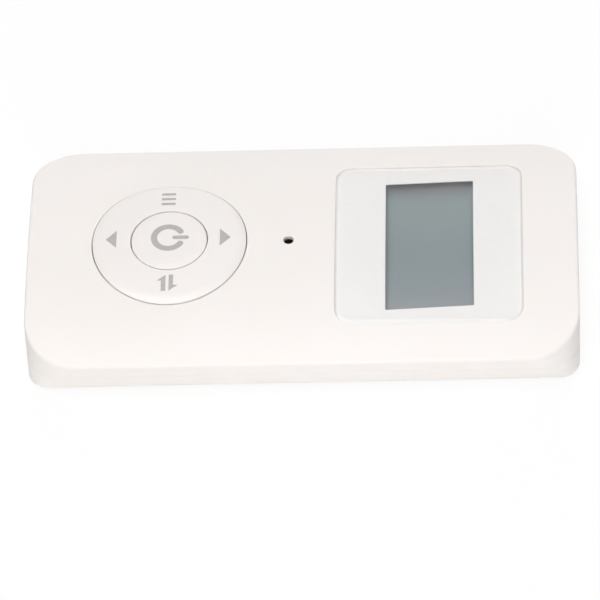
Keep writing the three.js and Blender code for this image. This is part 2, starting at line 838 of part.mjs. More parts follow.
function place(name, geometry, material) {
  const mesh = new THREE.Mesh(geometry, material);
  mesh.name = name;
  thermostat.add(mesh);
}

place('front_shell', toGeometry(frontShell()), warmWhite());
place('rear_shell', toGeometry(rearShell()), warmWhite());
place('display_lens', displayLens(), finish(0xf2f4f5, 0.06));
place('lens_mask', lensMask(), finish(0xf1f1f0, 0.5));
place('lcd_panel', lcdPanel(), finish(0x929c9f, 0.25));
place('lcd_holder', lcdHolder(), finish(0xe9e9e6, 0.5));
place('light_guide', lightGuide(), finish(0xe6ecec, 0.2));
place('elastomer_strip_1', elastomerStrip(-1), finish(0xb5a7a0, 0.7));
place('elastomer_strip_2', elastomerStrip(1), finish(0xb5a7a0, 0.7));
place('main_board', mainBoard(), finish(0x2f6b46, 0.45));
place(
  'microcontroller',
  underChip(processorSize, processorSize, processorHeight, lensX - processorSize / 2, -chipRow),
  finish(0x202225, 0.5),
);
place('buzzer', buzzer(padX + antennaPitch * antennaTurns / 2, -canRow), finish(0x1d1d1f, 0.55));
place('temperature_sensor', temperatureSensor(), finish(0x2b2a2a, 0.3));
place('sensor_sleeve', sensorSleeve(), finish(0x2a2a2c, 0.8));
place('radio_module', underChip(radioLength, radioWidth, radioHeight, lensX, chipRow), steel());
place(
  'crystal',
  underChip(crystalLength, crystalWidth, crystalHeight, lensX + crystalLength, -chipRow),
  steel(),
);
place('antenna', antenna(padX - antennaPitch * antennaTurns, -canRow), copper());
place('capacitor_1', capacitor(padX, canRow), aluminium());
place('capacitor_2', capacitor(padX + 3 * capacitorRadius, canRow), aluminium());
place('nav_ring', navRing(), keyWhite());
place('power_button', powerButton(), keyWhite());
place('rocker_collar', rockerCollar(), finish(0xdcdcda, 0.5));
place('keypad_frame', keypadFrame(), finish(0xdcdcda, 0.5));
place('keypad_mat', keypadMat(), finish(0xc9cbcd, 0.75));
place('battery_door', batteryDoor(), warmWhite());
place('coin_cell', coinCell(), steel());
place('battery_holder', batteryHolder(), finish(0x2a2b2d, 0.55));
place('negative_contact', negativeContact(), finish(0xc9b37a, 0.35, 0.9));
place('positive_contact', positiveContact(), finish(0xc9b37a, 0.35, 0.9));
bosses.forEach((at, k) => place(`case_screw_${k + 1}`, caseScrew(at), steel()));
boardScrews.forEach((at, k) => place(`board_screw_${k + 1}`, boardScrew(at), steel()));

export default thermostat;
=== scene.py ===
import math
import bmesh
import bpy
import numpy as np
from mathutils import Matrix, Vector


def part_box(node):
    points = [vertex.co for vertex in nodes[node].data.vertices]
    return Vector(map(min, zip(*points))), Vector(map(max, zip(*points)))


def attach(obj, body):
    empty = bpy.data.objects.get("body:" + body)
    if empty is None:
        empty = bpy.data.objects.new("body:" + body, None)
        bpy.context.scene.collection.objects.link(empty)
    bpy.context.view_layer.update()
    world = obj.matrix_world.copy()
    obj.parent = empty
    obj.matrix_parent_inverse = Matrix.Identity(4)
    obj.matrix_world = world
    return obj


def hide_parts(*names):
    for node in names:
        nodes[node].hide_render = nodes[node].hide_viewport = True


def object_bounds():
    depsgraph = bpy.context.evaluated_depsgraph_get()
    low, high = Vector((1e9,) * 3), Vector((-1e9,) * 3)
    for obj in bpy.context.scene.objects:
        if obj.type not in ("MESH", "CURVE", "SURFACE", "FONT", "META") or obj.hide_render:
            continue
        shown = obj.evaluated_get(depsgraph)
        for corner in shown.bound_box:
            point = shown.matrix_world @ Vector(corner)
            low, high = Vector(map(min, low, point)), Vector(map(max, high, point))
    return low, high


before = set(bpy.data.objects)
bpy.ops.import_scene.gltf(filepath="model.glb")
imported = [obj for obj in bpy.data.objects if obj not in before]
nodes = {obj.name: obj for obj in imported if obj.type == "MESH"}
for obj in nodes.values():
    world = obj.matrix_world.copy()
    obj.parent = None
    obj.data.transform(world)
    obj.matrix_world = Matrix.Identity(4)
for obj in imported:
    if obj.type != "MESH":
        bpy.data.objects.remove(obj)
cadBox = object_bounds()
scene = bpy.context.scene
scene.view_settings.view_transform = "Standard"

# camera: above the lower long side, a long lens from over a metre away
view = dict(
    elevation=49.562,               # degrees above the table
    turn=4.179,                     # degrees to the right of the middle
    roll=-4.368,                    # degrees the camera leans
    distance=1.1365,
    lens=313.2, sensor=36,          # mm
    aim=(-0.00072, -0.01005, 0.0064),
)

cameraData = bpy.data.cameras.new("camera")
cameraData.lens = view["lens"]
cameraData.sensor_width = view["sensor"]
cameraData.clip_start = 0.05
cameraData.clip_end = 20
camera = bpy.data.objects.new("camera", cameraData)
scene.collection.objects.link(camera)
scene.camera = camera
lean = (
    Matrix.Rotation(math.radians(view["turn"]), 4, "Z")
    @ Matrix.Rotation(math.radians(90 - view["elevation"]), 4, "X")
    @ Matrix.Rotation(math.radians(view["roll"]), 4, "Z")
)
back = lean.col[2].to_3d()
camera.matrix_world = Matrix.Translation(Vector(view["aim"]) + back * view["distance"]) @ lean
print("camera ready")


# small tools: colours, nodes and meshes
def linear(hexColour):
    # sRGB hex to linear red, green, blue and full alpha
    channels = [int(hexColour[k:k + 2], 16) / 255 for k in (0, 2, 4)]
    return [c / 12.92 if c <= 0.04045 else ((c + 0.055) / 1.055) ** 2.4 for c in channels] + [1]


def node(tree, kind, settings=(), **inputs):
    # adds one node; a setting is a property, an input is a value or a socket to link from
    added = tree.nodes.new(kind)
    for name, value in dict(settings).items():
        setattr(added, name, value)
    for name, value in inputs.items():
        key = int(name[1:]) if name[0] == "_" and name[1:].isdigit() else name.replace("_", " ")
        if isinstance(value, bpy.types.NodeSocket):
            tree.links.new(value, added.inputs[key])
        else:
            added.inputs[key].default_value = value
    return added


def newMaterial(name):
    material = bpy.data.materials.new(name)
    material.use_nodes = True
    material.node_tree.nodes.clear()
    return material, material.node_tree


def output(tree, shader):
    node(tree, "ShaderNodeOutputMaterial", Surface=shader)


def ramp(tree, factor, stops):
    # a colour ramp with stops of (place, linear colour)
    added = node(tree, "ShaderNodeValToRGB", Fac=factor)
    elements = added.color_ramp.elements
    while len(elements) < len(stops):
        elements.new(0.5)
    for element, (place, shade) in zip(elements, stops):
        element.position = place
        element.color = shade
    return added.outputs["Color"]


def grey(value):
    return [value, value, value, 1]


def objectPlace(tree):
    # a point's place on its own object, in metres
    return node(tree, "ShaderNodeTexCoord").outputs["Object"]


def noise(tree, place, scale, detail):
    return node(tree, "ShaderNodeTexNoise", Vector=place, Scale=scale, Detail=detail).outputs["Fac"]


def between(tree, value, low, high):
    # a value from 0 to 1 carried over to low to high
    return node(tree, "ShaderNodeMapRange", Value=value, To_Min=low, To_Max=high).outputs["Result"]


def quads(rows, columns, closed):
    # corner numbers of every quad on a grid of rows and columns; a closed row joins its own start
    index = np.arange(rows * columns).reshape(rows, columns)
    if closed:
        index = np.concatenate([index, index[:, :1]], axis=1)
    corners = [index[:-1, :-1], index[:-1, 1:], index[1:, 1:], index[1:, :-1]]
    return np.stack(corners, axis=-1).reshape(-1, 4)


def buildMesh(name, grids, caps=(), sharp=35, weld=2e-6, least=1e-7):
    # welds grids of points in mm, each (points, closed), and flat caps, each one loop of points;
    # points nearer than weld join, and edges shorter than least go, both in metres
    points, faces, start = [], [], 0
    for grid, closed in grids:
        points.append(grid.reshape(-1, 3))
        faces += (quads(grid.shape[0], grid.shape[1], closed) + start).tolist()
        start += points[-1].shape[0]
    for loop in caps:
        points.append(loop)
        faces.append(list(range(start, start + len(loop))))
        start += len(loop)
    mesh = bpy.data.meshes.new(name)
    mesh.from_pydata(np.concatenate(points) * 0.001, [], faces)
    work = bmesh.new()
    work.from_mesh(mesh)
    bmesh.ops.remove_doubles(work, verts=work.verts, dist=weld)
    bmesh.ops.dissolve_degenerate(work, edges=work.edges, dist=least)
    bmesh.ops.recalc_face_normals(work, faces=work.faces)
    work.to_mesh(mesh)
    work.free()
    mesh.shade_smooth()
    mesh.set_sharp_from_angle(angle=math.radians(sharp))
    return mesh


def addPiece(name, mesh, body, material, replaced=()):
    piece = bpy.data.objects.new(name, mesh)
    scene.collection.objects.link(piece)
    piece.data.materials.clear()
    piece.data.materials.append(material)
    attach(piece, body)
    if replaced:
        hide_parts(*replaced)
    return piece


def nodeBox(name):
    low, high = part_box(name)
    return np.array(low) * 1000, np.array(high) * 1000


def middle(name):
    low, high = nodeBox(name)
    return (low + high) / 2


def turnedGrid(profile, centre, steps=144):
    # turns (radius, height) pairs about an upright line through centre
    angle = np.arange(steps) / steps * 2 * np.pi
    radius = np.array([p[0] for p in profile])[:, None]
    height = np.array([p[1] for p in profile])[:, None]
    x = centre[0] + radius * np.cos(angle)
    y = centre[1] + radius * np.sin(angle)
    return np.stack([x, y, height + 0 * x], axis=-1)


nearAxis = 0.0001                   # mm, radius at the ends of a turned profile


def quarter(steps):
    # pairs of sine and one minus cosine through a quarter turn, for rounding an edge
    turn = np.linspace(0, np.pi / 2, steps)
    return list(zip(np.sin(turn), 1 - np.cos(turn)))


rounding = quarter(7)


def around(centre, radius, angle):
    # flat points at a radius, or at a list of them, and at angles round a centre
    return np.stack([centre[0] + radius * np.cos(angle), centre[1] + radius * np.sin(angle)], axis=1)


def raised(flat, z):
    # flat points given one height, or a height each
    return np.column_stack([flat, z + 0 * flat[:, 0]])


def cut(name, mesh, cutters, operation="DIFFERENCE", sharp=35):
    # exact Boolean of one mesh with another, then a clean mesh
    base = bpy.data.objects.new(name, mesh)
    tool = bpy.data.objects.new(name + "_tool", cutters)
    for made in (base, tool):
        scene.collection.objects.link(made)
    modifier = base.modifiers.new("cut", "BOOLEAN")
    modifier.operation = operation
    modifier.solver = "EXACT"
    modifier.object = tool
    bpy.context.view_layer.update()
    solid = base.evaluated_get(bpy.context.evaluated_depsgraph_get())
    done = bpy.data.meshes.new_from_object(solid)
    for made in (base, tool):
        bpy.data.objects.remove(made)
    done.shade_smooth()
    done.set_sharp_from_angle(angle=math.radians(sharp))
    return done


# the case form, shared by both shells, in mm
case = dict(
    halfX=59.998,                   # half the length and half the width at the crowned edge
    halfY=31.15,
    crest=nodeBox("front_shell")[1][2],
    crownDepth=4.94,                # long edges below the crest
    crownPower=2.5,
    frontCorner=11.4,
    rearCorner=4.2,
    leastCorner=0.4,                # of the inner walls
    taperSide=2.8,                  # rear outline inside the front one
    taperEnd=0.2,
    parting=5.5,                    # height of the seam between the shells
    seam=0.02,
    wall=2.0,
    faceWall=1.8,
    edge=0.55,                      # rounding of the face's edge
    foot=0.7,                       # rounding round the rear face
    lip=0.02,                       # rounding of the front shell at the seam
    ledge=0.6,                      # height of the rear shell's last strip, which leans back a little
    ledgeIn=0.2,
    tongueInset=1.1,
    tongueDrop=1.1,
    innerFoot=0.5,                  # last upright stretch of the inner wall, under the face
)


def faceHeight(y):
    # the crest less a share of the crown depth that grows with the power of the distance from the middle
    return case["crest"] - case["crownDepth"] * (np.abs(y) / case["halfY"]) ** case["crownPower"]


def roundEnd(halfX, halfY, corner, arcSteps=30, lineSteps=90):
    # one rounded end of an outline: corner arc, straight end, corner arc
    turn = np.linspace(0, np.pi / 2, arcSteps)
    coreX, coreY = halfX - corner, halfY - corner
    first = np.stack([coreX + corner * np.sin(turn), -coreY - corner * np.cos(turn)], axis=1)
    line = np.linspace(-coreY, coreY, lineSteps)[1:-1]
    second = np.stack([coreX + corner * np.cos(turn), coreY + corner * np.sin(turn)], axis=1)
    return np.concatenate([first, np.stack([line * 0 + halfX, line], axis=1), second])


def outlineLoop(stations, halfX, halfY, corner):
    # a whole outline: near side left to right, right end, far side back, left end
    near = np.stack([stations * (halfX - corner), stations * 0 - halfY], axis=1)
    right = roundEnd(halfX, halfY, corner)
    return np.concatenate([near[:-1], right[:-1], -near[:-1], -right[:-1]])


# the well lies a hair off the middle of the solid keys, and the keys a hair off the middle of the well
shift = dict(well=(0.08, 0.06, 0), keys=(0, -0.02, 0), windowY=-0.05)
padCentre = middle("power_button") + shift["well"]
keyCentre = padCentre + shift["keys"]
printCentre = middle("power_button")
lensCentre = middle("display_lens")
windowSpot = np.array([lensCentre[0], shift["windowY"]])
sensorX = middle("sensor_sleeve")[0]

# the face in three blocks, split midway between the sensor hole and the key well or the window
block = dict(padReach=17.1, windowReach=20.8, steps=(110, 30, 120), splitSteps=140)
splitX = (
    (sensorX + padCentre[0] + block["padReach"]) / 2,
    (sensorX + lensCentre[0] - block["windowReach"]) / 2,
)
coreX = case["halfX"] - case["frontCorner"]
cuts = np.array([-coreX, *splitX, coreX]) / coreX
blocks = [np.linspace(cuts[k], cuts[k + 1], n) for k, n in enumerate(block["steps"])]
# the far side runs through the same stations turned half round, so both sets go in
stations = np.unique(np.round(np.concatenate([*blocks, *[-b for b in blocks]]), 9))
blocks = [stations[(stations >= cuts[k] - 1e-6) & (stations <= cuts[k + 1] + 1e-6)] for k in range(3)]


def wallLoop(inset, height, share=None):
    # a loop of the case wall: each point lies on the straight line from the rear outline to the
    # crowned front one, at the share of the way that its height says
    foot = outlineLoop(
        stations,
        case["halfX"] - case["taperEnd"] - inset,
        case["halfY"] - case["taperSide"] - inset,
        max(case["rearCorner"] - inset, case["leastCorner"]),
    )
    crown = outlineLoop(
        stations, case["halfX"] - inset, case["halfY"] - inset, case["frontCorner"] - inset
    )
    top = faceHeight(crown[:, 1])
    z = height(top)
    part = z / top if share is None else share + 0 * z
    flat = foot + (crown - foot) * part[:, None]
    return raised(flat, z)


# heights for a loop, from the height of the face over each of its points: level, or below the face
def at(z):
    return lambda top: z + 0 * top


def under(depth):
    return lambda top: top - depth


def blockLoop(k, inset):
    # one of the three blocks of the face, as a loop: its part of the outline and its straight splits
    halfX, halfY = case["halfX"] - inset, case["halfY"] - inset
    x = blocks[k] * coreX
    near = np.stack([x, 0 * x - halfY], axis=1)
    far = near[::-1] * [1, -1]
    split = np.linspace(-halfY, halfY, block["splitSteps"])
    end = roundEnd(halfX, halfY, case["frontCorner"] - inset)
    right = end if k == 2 else np.stack([split * 0 + x[-1], split], axis=1)
    left = -end if k == 0 else np.stack([split * 0 + x[0], -split], axis=1)
    return np.concatenate([near[:-1], right[:-1], far[:-1], left[:-1]])


def holeLoop(centre, halfX, halfY, corner, toward, steps=400):
    # the points of a rounded rectangle, or a circle, that lie in line with the points of a block's loop
    dense = outlineLoop(np.linspace(-1, 1, steps), halfX, halfY, corner)
    angle = np.arctan2(dense[:, 1], dense[:, 0])
    order = np.argsort(angle)
    wanted = np.arctan2(toward[:, 1] - centre[1], toward[:, 0] - centre[0])
    reach = np.interp(wanted, angle[order], np.hypot(*dense.T)[order], period=2 * np.pi)
    return around(centre, reach, wanted)


def lifted(loop, height):
    # puts a flat loop at a height, or at a height below the face
    return raised(loop, height(faceHeight(loop[:, 1])))


def skin(inner, outer, rows, ease, depth):
    # the crowned face between two loops, straight lines in plan with closer rows near the inner one
    share = (np.linspace(0, 1, rows) ** ease)[:, None, None]
    flat = inner + (outer - inner) * share
    z = faceHeight(flat[..., 1]) - depth
    return np.concatenate([flat, z[..., None]], axis=-1)


# materials
plastic = dict(
    case="f2edea",                  # warm white ABS
    caseShade="efeae6",
    key="f2eeeb",
    keyShade="efeae7",
    grain=0.22,                     # mm, the fine spark-eroded grain of the mould
    glow=0.35,                      # share of the light that spreads under the skin
    glowReach=0.6,                  # mm it spreads, which keeps narrow gaps pale
)


def mouldedAbs(name, light, shade, roughness, grain, depth, glow=0.0):
    # injection moulded ABS: satin, a hair of grain, and broad faint changes of tone from the flow
    material, tree = newMaterial(name)
    place = objectPlace(tree)
    flow = noise(tree, place, 18.0, 2.0)
    fine = noise(tree, place, 1000 / grain, 1.0)
    tone = ramp(tree, flow, [(0.35, linear(shade)), (0.65, linear(light))])
    rough = between(tree, fine, roughness - 0.04, roughness + 0.04)
    bump = node(tree, "ShaderNodeBump", Height=fine, Strength=0.12, Distance=depth * 0.001)
    shader = node(
        tree, "ShaderNodeBsdfPrincipled", Base_Color=tone, Roughness=rough,
        Normal=bump.outputs["Normal"], IOR=1.53, Subsurface_Weight=glow,
        Subsurface_Radius=(1.0, 0.9, 0.8), Subsurface_Scale=plastic["glowReach"] * 0.001,
    )
    output(tree, shader.outputs["BSDF"])
    return material


grain, glow = plastic["grain"], plastic["glow"]
caseAbs = mouldedAbs(
    "warm_white_moulded_abs", plastic["case"], plastic["caseShade"], 0.42, grain, 0.02, glow
)
keyAbs = mouldedAbs(
    "key_white_moulded_abs", plastic["key"], plastic["keyShade"], 0.3, grain, 0.015, glow
)
innerAbs = mouldedAbs("natural_inner_abs", "e6e6e2", "dededa", 0.5, 0.3, 0.02)
blackNylon = mouldedAbs("black_glass_filled_nylon", "2c2d2f", "1f2022", 0.55, 0.3, 0.03)
sleeveRubber = mouldedAbs("brown_sleeve_rubber", "5f463a", "503a30", 0.8, 0.4, 0.04)


def clearSheet(name, roughness, dust, mirror):
    # clear sheet: light passes straight through, and the skin mirrors more at a low angle
    material, tree = newMaterial(name)
    rough = between(tree, noise(tree, objectPlace(tree), 60.0, 3.0), roughness, roughness + dust)
    # share mirrored = head-on share, rising to all with the fifth power of how edge-on the skin is seen
    facing = node(tree, "ShaderNodeLayerWeight", Blend=0.5)
    steep = node(tree, "ShaderNodeMath", {"operation": "POWER"}, _0=facing.outputs["Facing"], _1=5.0)
    share = between(tree, steep.outputs["Value"], mirror, 1.0)
    clear = node(tree, "ShaderNodeBsdfTransparent", Color=grey(0.99))
    gloss = node(tree, "ShaderNodeBsdfGlossy", Color=grey(1), Roughness=rough)
    mix = node(
        tree, "ShaderNodeMixShader", Fac=share,
        _1=clear.outputs["BSDF"], _2=gloss.outputs["BSDF"],
    )
    output(tree, mix.outputs["Shader"])
    return material


def printedInk(name, light, shade, roughness):
    # pad printed ink: flat colour with a faint mottle where the film is thinner
    material, tree = newMaterial(name)
    mottle = noise(tree, objectPlace(tree), 1400.0, 2.0)
    tone = ramp(tree, mottle, [(0.3, linear(shade)), (0.7, linear(light))])
    shader = node(tree, "ShaderNodeBsdfPrincipled", Base_Color=tone, Roughness=roughness, IOR=1.5)
    output(tree, shader.outputs["BSDF"])
    return material


def metal(name, light, shade, roughness, streak):
    # a metal with drawn or rolled streaks along one way
    material, tree = newMaterial(name)
    stretch = node(tree, "ShaderNodeMapping", Vector=objectPlace(tree), Scale=(streak, 1, 1))
    lines = noise(tree, stretch.outputs["Vector"], 900.0, 3.0)
    tone = ramp(tree, lines, [(0.3, linear(shade)), (0.7, linear(light))])
    rough = between(tree, lines, roughness - 0.08, roughness + 0.08)
    shader = node(tree, "ShaderNodeBsdfPrincipled", Base_Color=tone, Metallic=1.0, Roughness=rough)
    output(tree, shader.outputs["BSDF"])
    return material


lensAcrylic = clearSheet("clear_hard_coated_acrylic", 0.04, 0.03, 0.035)
whiteInk = printedInk("white_window_ink", "f4f2f0", "f0eeec", 0.35)
greyInk = printedInk("warm_grey_key_ink", "b9b4b1", "b2adaa", 0.45)
zincSteel = metal("zinc_plated_steel", "c9cbce", "a9abad", 0.32, 0.2)
rolledAluminium = metal("rolled_aluminium_can", "d4d6d8", "bfc1c3", 0.36, 0.15)
coilCopper = metal("enamelled_copper_wire", "c07a45", "9c5b2e", 0.3, 0.3)
springBronze = metal("gold_flashed_bronze", "d8bd7c", "c0a263", 0.3, 0.25)
print("materials ready")


# front shell
rim = dict(well=0.2, pocket=0.09, sensor=0.18)  # roundings of the three openings
well = dict(radius=16.99, shelf=18.82, outer=20.02, foot=9.8)
pocket = dict(halfX=20.38, halfY=22.48, corner=3.76, floor=11.37, foot=10.17, rib=1.8)
window = dict(halfX=13.8, halfY=20.5, corner=0.6)
sensor = dict(radius=1.1, thin=1.05, bore=2.1)

# the face ends on the rounding outside, and on the wall's inner side behind
faceTop = [blockLoop(k, case["edge"]) for k in range(3)]
faceLow = [blockLoop(k, case["wall"]) for k in range(3)]
centres = [padCentre[:2], np.array([sensorX, 0]), windowSpot]


def roundHole(k, radius):
    # a circle is a rounded square whose corners all but meet
    return holeLoop(centres[k], radius, radius, radius - 1e-6, faceTop[k])


def windowHole(halfX, halfY, corner, grow=0):
    return holeLoop(centres[2], halfX + grow, halfY + grow, corner + grow, faceTop[2])


def roundedRim(hole, size):
    # rows down the rounded rim of an opening; hole gives its loop for a growth in mm
    return [lifted(hole(size * (1 - s)), under(size * r)) for s, r in rounding]


def keyWell():
    # rim, bore, and the wall that hangs round the key pad
    rows = roundedRim(lambda grow: roundHole(0, well["radius"] + grow), rim["well"])
    shelf, outer = roundHole(0, well["shelf"]), roundHole(0, well["outer"])
    rows.append(lifted(roundHole(0, well["radius"]), under(case["faceWall"])))
    rows += [lifted(shelf, under(case["faceWall"])), lifted(shelf, at(well["foot"]))]
    rows.append(lifted(outer, at(well["foot"])))
    wide = roundHole(0, well["radius"] + rim["well"])
    return [
        (np.stack(rows), True),
        (skin(wide, faceTop[0], rows=30, ease=1.3, depth=0), True),
        (np.stack([rows[-1], lifted(outer, under(case["faceWall"]))]), True),
        (skin(outer, faceLow[0], rows=8, ease=1, depth=case["faceWall"]), True),
    ]


def sensorHole():
    # rim and a short bore, thinned from behind
    rows = roundedRim(lambda grow: roundHole(1, sensor["radius"] + grow), rim["sensor"])
    bore = roundHole(1, sensor["bore"])
    rows.append(lifted(roundHole(1, sensor["radius"]), under(sensor["thin"])))
    rows += [lifted(bore, under(sensor["thin"])), lifted(bore, under(case["faceWall"]))]
    wide = roundHole(1, sensor["radius"] + rim["sensor"])
    return [
        (np.stack(rows), True),
        (skin(wide, faceTop[1], rows=30, ease=2.4, depth=0), True),
        (skin(bore, faceLow[1], rows=10, ease=1.8, depth=case["faceWall"]), True),
    ]


def lensPocket():
    # rim and floor, the opening over the display, and the rib behind
    size = (pocket["halfX"], pocket["halfY"], pocket["corner"])
    rows = roundedRim(lambda grow: windowHole(*size, grow), rim["pocket"])
    hole = windowHole(window["halfX"], window["halfY"], window["corner"])
    rib = windowHole(*size, pocket["rib"])
    rows += [lifted(windowHole(*size), at(pocket["floor"])), lifted(hole, at(pocket["floor"]))]
    rows += [lifted(hole, at(pocket["foot"])), lifted(rib, at(pocket["foot"]))]
    rows.append(lifted(rib, under(case["faceWall"])))
    wide = windowHole(*size, rim["pocket"])
    return [
        (np.stack(rows), True),
        (skin(wide, faceTop[2], rows=26, ease=1.2, depth=0), True),
        (skin(rib, faceLow[2], rows=8, ease=1, depth=case["faceWall"]), True),
    ]


def frontWall():
    # outer wall, seam, tongue and inner wall, all the way round
    seamTop = case["parting"] + case["seam"] / 2
    rows = [wallLoop(case["edge"] * (1 - s), under(case["edge"] * r), 1.0 if k == 0 else None)
            for k, (s, r) in enumerate(rounding)]
    low = seamTop + case["lip"]
    for share in np.linspace(0, 1, 8)[1:]:
        rows.append(wallLoop(0, lambda top: (top - case["edge"]) * (1 - share) + low * share))
    rows += [wallLoop(case["lip"] * r, at(seamTop + case["lip"] * (1 - s)))
             for s, r in rounding[1::2]]
    tongue = case["parting"] - case["tongueDrop"]
    rows += [wallLoop(case["tongueInset"], at(seamTop)), wallLoop(case["tongueInset"], at(tongue))]
    rows.append(wallLoop(case["wall"], at(tongue)))
    rows.append(wallLoop(case["wall"], under(case["faceWall"] + case["innerFoot"])))
    rows.append(wallLoop(case["wall"], under(case["faceWall"]), 1.0))
    return [(np.stack(rows), True)]


frontMesh = buildMesh("front_case", keyWell() + sensorHole() + lensPocket() + frontWall())
addPiece("front_case", frontMesh, "root", caseAbs, ["front_shell"])
print("front shell ready")


# rear shell
rear = dict(
    floor=1.8, root=0.9,            # bosses, posts and rims start this high, inside the floor
    rebate=0.8, rebateSpare=0.3,
    bossRadius=3.6, bossTop=4.9,
    screwWell=2.6, screwWellTop=2.6, screwBore=1.45, screwBoreLow=1,
    keyHead=4.0, keySlot=1.8, keyTravel=7.0, keyRim=1.0, keyRimTop=3.2, keyPitch=80.0,
    doorStep=15.9, doorStepDepth=0.9, doorHole=13.6, doorLow=0.5, doorTop=3, doorPoints=192,
    lugReach=14.9, lugSpan=36.0, lugTurn=-45.0,
    rimInner=15.8, rimOuter=17.0, rimTop=3.4,
    postRadius=2.2, postTop=6.85, postPitch=40.0, postInset=8.0,
    through=9,                      # above everything the cutters pass through
)
screws = [middle(f"case_screw_{k}")[:2] for k in (1, 2, 3, 4)]
postY = case["halfY"] - rear["postInset"]
posts = [(x, y) for x in (-rear["postPitch"] / 2, rear["postPitch"] / 2) for y in (-postY, postY)]
keyholes = [-rear["keyPitch"] / 2, rear["keyPitch"] / 2]


def rearBase():
    seamLow = case["parting"] - case["seam"] / 2
    rows = [wallLoop(case["foot"] * (1 - s), at(case["foot"] * r)) for s, r in rounding]
    for z in np.linspace(case["foot"], seamLow - case["ledge"], 6)[1:]:
        rows.append(wallLoop(0, at(z)))
    # the leaning strip, with a row close to each of its ends to keep its shading flat
    for share in (0.08, 0.9, 1.0):
        rows.append(wallLoop(case["ledgeIn"] * share, at(seamLow - case["ledge"] * (1 - share))))
    shelf = case["parting"] - case["tongueDrop"] - rear["rebateSpare"]
    rows.append(wallLoop(rear["rebate"], at(seamLow)))
    rows.append(wallLoop(rear["rebate"], at(shelf)))
    rows.append(wallLoop(case["wall"], at(shelf)))
    rows.append(wallLoop(case["wall"], at(rear["floor"])))
    return [(np.stack(rows), True)], [rows[0], rows[-1]]


def stackSolid(rows):
    # closes a stack of flat loops, each (loop, height), into an upright solid
    stack = [raised(flat, z) for flat, z in rows]
    return (np.stack(stack), True), [stack[0], stack[-1]]


def pillar(loop, low, high):
    return stackSolid([(loop, low), (loop, high)])


def opening(outline, high, foot=0.0, mouth=0.2, start=-2):
    # a cutter from below, with a chamfer at its mouth; outline gives the loop for a growth in mm
    wide, narrow = outline(mouth), outline(0)
    return stackSolid([(wide, start), (wide, foot), (narrow, foot + mouth), (narrow, high)])


def circleLoop(centre, radius, steps=96):
    return around(centre, radius, np.arange(steps) / steps * 2 * np.pi)


def keyholeLoop(x, grow=0.0):
    # a large circle joined to a narrower round-ended slot
    head, half = rear["keyHead"] + grow, rear["keySlot"] + grow
    meet = math.asin(half / head)
    wide = np.linspace(meet, 2 * np.pi - meet, 72)
    narrow = np.linspace(-np.pi / 2, np.pi / 2, 32)
    return np.concatenate([
        around((x, 0), head, wide), around((x + rear["keyTravel"], 0), half, narrow),
    ])


def solidsMesh(name, solids):
    return buildMesh(name, [s[0] for s in solids], [cap for s in solids for cap in s[1]])


def sectorLoop(radius, span, turn):
    # a slice of a disc
    angle = np.radians(np.linspace(turn - span / 2, turn + span / 2, 24))
    arc = around((0, 0), radius, angle)
    return np.concatenate([arc, 0.5 * arc[::-1]])


def ringSolid(inner, outer, low, high):
    profile = [(inner, low), (outer, low), (outer, high), (inner, high), (inner, low)]
    return (turnedGrid(profile, (0, 0)), True), []


def roundOpening(centre, radius, high, steps=96):
    return opening(lambda grow: circleLoop(centre, radius + grow, steps), high)


def keyOpening(x):
    return opening(lambda grow: keyholeLoop(x, grow), rear["through"])


def rearMesh():
    root, doorLow, doorTop = rear["root"], rear["doorLow"], rear["doorTop"]
    added = [pillar(circleLoop(spot, rear["bossRadius"]), root, rear["bossTop"]) for spot in screws]
    added += [pillar(circleLoop(spot, rear["postRadius"]), root, rear["postTop"]) for spot in posts]
    added += [pillar(keyholeLoop(x, rear["keyRim"]), root, rear["keyRimTop"]) for x in keyholes]
    added += [ringSolid(rear["rimInner"], rear["rimOuter"], root, rear["rimTop"])]
    wells = [roundOpening(spot, rear["screwWell"], rear["screwWellTop"]) for spot in screws]
    wells += [keyOpening(x) for x in keyholes]
    bores = [pillar(circleLoop(spot, rear["screwBore"]), rear["screwBoreLow"], rear["through"])
             for spot in screws]
    bores += [roundOpening((0, 0), rear["doorStep"], rear["doorStepDepth"], rear["doorPoints"])]
    doorway = [pillar(circleLoop((0, 0), rear["doorHole"], rear["doorPoints"]), doorLow, doorTop)]
    turns = [rear["lugTurn"], rear["lugTurn"] + 180]
    lugWays = [pillar(sectorLoop(rear["lugReach"], rear["lugSpan"], turn), doorLow, doorTop)
               for turn in turns]
    mesh = buildMesh("rear_base", *rearBase())
    mesh = cut("rear_case", mesh, solidsMesh("rear_added", added), "UNION")
    for tools in (wells, bores, doorway, lugWays):
        mesh = cut("rear_case", mesh, solidsMesh("rear_gone", tools))
    return mesh


addPiece("rear_case", rearMesh(), "root", caseAbs, ["rear_shell"])
print("rear shell ready")


# keys
ring = dict(
    radius=16.81, bore=8.43,
    proud=0.52, rise=0.38,          # rim above the face, and the inner edge above the rim
    outerRound=2.0, outerDrop=0.3,
    ease=2.0,                       # how late the rim falls away
    edge=0.18,                      # last, tighter rounding down into the gap
    innerRound=0.3, innerDrop=0.3,
    underside=12.4, skirt=15.52, flange=18.22, flangeLow=10.4, flangeTop=11.1,
    legRadius=1.5, legSpread=12.8, legLow=10.3, legRoot=0.2,
)
button = dict(
    radius=8.23, round=1.7, drop=0.3, dome=0.08, edge=0.12,
    flange=9.16, skirtLow=11.0, flangeHigh=11.8, inner=6.96, roof=1.6,
    stemRadius=2.0, stemLow=11.1, stemRoot=0.1,
)


def ringLift(radius):
    share = (ring["radius"] - radius) / (ring["radius"] - ring["bore"])
    return ring["proud"] + ring["rise"] * share


buttonTop = case["crest"] + ringLift(ring["bore"])
buttonFlat = button["radius"] - button["round"] - button["edge"]    # radius inside the rounding


